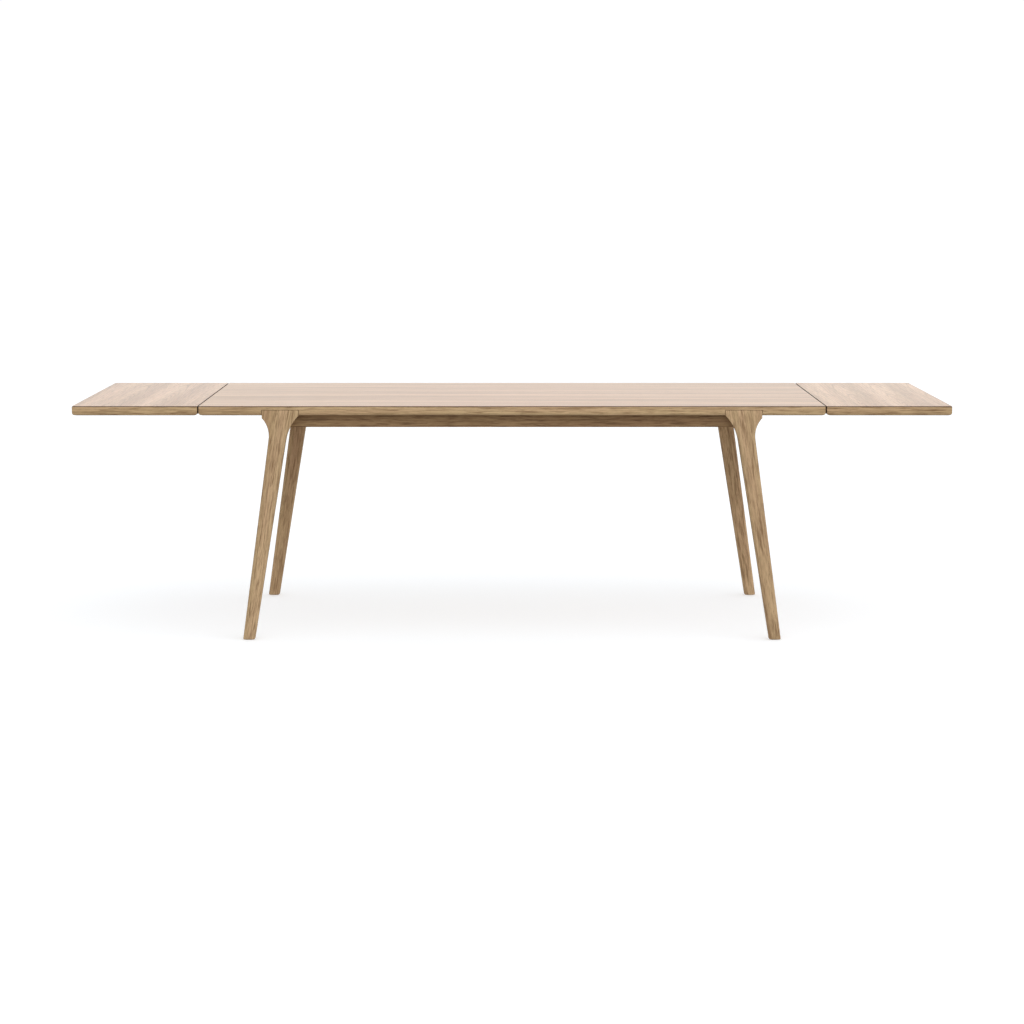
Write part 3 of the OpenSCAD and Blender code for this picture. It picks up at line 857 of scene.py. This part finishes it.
def leg_sides(node):
    """Two chains of (z, x) up the leg's -X and +X sides, read from the CAD outline."""
    low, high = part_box(node)
    outer_y = max(low.y, high.y, key=abs)
    outline = sorted({(round(v.co.z, LEVEL_DIGITS), round(v.co.x, LEVEL_DIGITS))
                      for v in nodes[node].data.vertices if abs(v.co.y - outer_y) < SAME_LEVEL})
    foot_z = outline[0][0]
    foot = [x for z, x in outline if abs(z - foot_z) < SAME_LEVEL]
    head = [x for z, x in outline if abs(z - high.z) < SAME_LEVEL]
    foot_middle = (min(foot) + max(foot)) / 2
    head_middle = (min(head) + max(head)) / 2
    sides = []
    for side in SIDES.values():
        chain = []
        for z, x in outline:
            share = (z - foot_z) / (high.z - foot_z)
            middle = foot_middle + (head_middle - foot_middle) * share
            if (x - middle) * side > MIDDLE_BAND:
                chain.append((z, x))
        sides.append(chain)
    return sides


def end_round(end, inward, size, steps):
    """The heights and insets of the round at a leg's end. inward is 1 at the foot and -1 at the head."""
    rows = []
    for k in range(steps + 1):
        angle = math.pi / 2 * k / steps
        rows.append((end + inward * size * (1 - math.sin(angle)), size * (1 - math.cos(angle))))
    return rows


def leg_rows(foot_z, head_z, outline_levels):
    """Every height where the leg has a loop of points, with the loop's inset there."""
    even = {round(foot_z + (ROUND_TOP - foot_z) * k / LEG_STEPS, LEVEL_DIGITS) for k in range(LEG_STEPS + 1)}
    shaft = [(z, 0.0) for z in outline_levels | even if foot_z + FOOT_ROUND <= z <= head_z - HEAD_ROUND]
    foot = end_round(foot_z, 1, FOOT_ROUND, FOOT_STEPS)
    head = end_round(head_z, -1, HEAD_ROUND, HEAD_STEPS)
    return sorted(shaft + foot + head)


def edge_radius(z):
    """How round the leg's edges are at a height."""
    share = min(max((ROUND_TOP - z) / (ROUND_TOP - ROUND_FULL), 0), 1)
    share = share * share * (3 - 2 * share)
    return HEAD_ROUND + (SHAFT_ROUND - HEAD_ROUND) * share


def make_leg(node, material):
    """A leg whose edges are crisp at the flared head and well rounded down the shaft."""
    low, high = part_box(node)
    left, right = leg_sides(node)
    levels = {round(z, LEVEL_DIGITS) for z, _ in left + right}
    bm = bmesh.new()
    loops = []
    for z, inset in leg_rows(low.z, high.z, levels):
        x_low = np.interp(z, *zip(*left)) + inset
        x_high = np.interp(z, *zip(*right)) - inset
        y_low = low.y + inset
        y_high = high.y - inset
        radius = min(max(edge_radius(z) - inset, LEAST_ROUND),
                     (x_high - x_low) / ROUND_LIMIT, (y_high - y_low) / ROUND_LIMIT)
        section = round_rectangle((x_low, y_low), (x_high, y_high), radius, radius, LEG_CORNER_STEPS)
        loops.append([bm.verts.new((x, y, z)) for x, y in section])
    skin(bm, loops)
    finish_piece(bm, node + "_shaped", material, node, "table")


def dress_legs():
    for k, (depth, side) in enumerate(CORNERS):
        node = f"{depth}_{side}_leg"
        lean = Vector((-SIDES[side] * math.tan(LEG_LEAN), 0, 1))
        heart = (0.012 - 0.009 * k, 0.052 + 0.006 * k)
        # The tone holds painted light for the rear legs
        wood = oak(node + "_oak", centre_of(node), lean, heart, 30 + 2 * k, waves=LEG_WAVES,
                   tone_and_light=LEG_TONES_AND_LIGHT[depth])
        make_leg(node, wood)
        paint(f"{depth}_{side}_glide", NYLON)


# Rails, runners and fittings: CAD nodes that stay, some with eased edges -------------------------

RAILS = {"front_rail": "x", "rear_rail": "x", "left_end_rail": "y", "right_end_rail": "y",
         "left_cross_rail": "y", "right_cross_rail": "y"}
# The rails' dark tone: partly a darker oak, partly painted shade for their place under the top
RAIL_TONE_AND_SHADE = (0.52, 0.455, 0.36)
PIN_TONE = (0.85, 0.83, 0.80)
RAIL_EASE = 2.5 * MM
RUNNER_EASE = 1.2 * MM
GUIDE_EASE = 1.0 * MM
EASE_ANGLE = math.radians(50)
EASE_SEGMENTS = 2
WELD_DISTANCE = 1e-5


def ease(node, width):
    """Rounds a CAD node's edges a little, as sanding does."""
    piece = nodes[node]
    weld = piece.modifiers.new("weld", "WELD")
    weld.merge_threshold = WELD_DISTANCE
    bevel = piece.modifiers.new("ease", "BEVEL")
    bevel.width = width
    bevel.segments = EASE_SEGMENTS
    bevel.limit_method = "ANGLE"
    bevel.angle_limit = EASE_ANGLE
    bevel.harden_normals = True


def dress_rails():
    for k, (node, way) in enumerate(RAILS.items()):
        heart = (0.05, 0.03 + 0.01 * k)
        # Darker oak with painted shade
        paint(node, oak(node + "_oak", centre_of(node), ALONG[way], heart, 50 + k, tone_and_light=RAIL_TONE_AND_SHADE))
        ease(node, RAIL_EASE)


def dress_runners():
    for k, (depth, side) in enumerate(CORNERS):
        runner = f"{depth}_{side}_runner"
        heart = (0.04, 0.02 + 0.01 * k)
        paint(runner, oak(runner + "_oak", centre_of(runner), ALONG["x"], heart, 60 + k))
        ease(runner, RUNNER_EASE)
        pins = f"{depth}_{side}_stop_pins"
        paint(pins, oak(pins + "_oak", centre_of(pins), ALONG["y"], (0.006, 0.004), 70 + k, tone_and_light=PIN_TONE))


def dress_leaf_fittings():
    for side, sign in SIDES.items():
        guides = f"{side}_leaf_guides"
        paint(guides, oak(guides + "_oak", centre_of(guides), ALONG["x"], (0.05, 0.05), 80 + sign))
        ease(guides, GUIDE_EASE)
        paint(f"{side}_leaf_guide_screws", STEEL)
        paint(f"{side}_leaf_dowels", STEEL)
        paint(f"{side}_dowel_bushes", BRASS)


def dress_frame_fittings():
    paint("rail_dowels", oak("rail_dowels_oak", (0, 0, 0), ALONG["y"], (0.02, 0.02), 90))
    for node in ("rail_screws", "leg_bolts", "leg_bolt_washers"):
        paint(node, STEEL)
    paint("leg_inserts", BRASS)
    paint("runner_pads", NYLON)


# Putting it together -----------------------------------------------------------------------------

OAK = make_oak_group()
CHIPBOARD = chipboard()
STEEL = metal("zinc_steel", ZINC, ZINC_WORN, 0.34)
BRASS = metal("turned_brass", BRIGHT_BRASS, DULL_BRASS, 0.3)
NYLON = nylon()

make_camera()
make_world()
make_floor()
make_backdrop()
make_softbox()
dress_boards()
dress_legs()
dress_rails()
dress_runners()
dress_leaf_fittings()
dress_frame_fittings()
bpy.context.scene.view_settings.view_transform = "Standard"
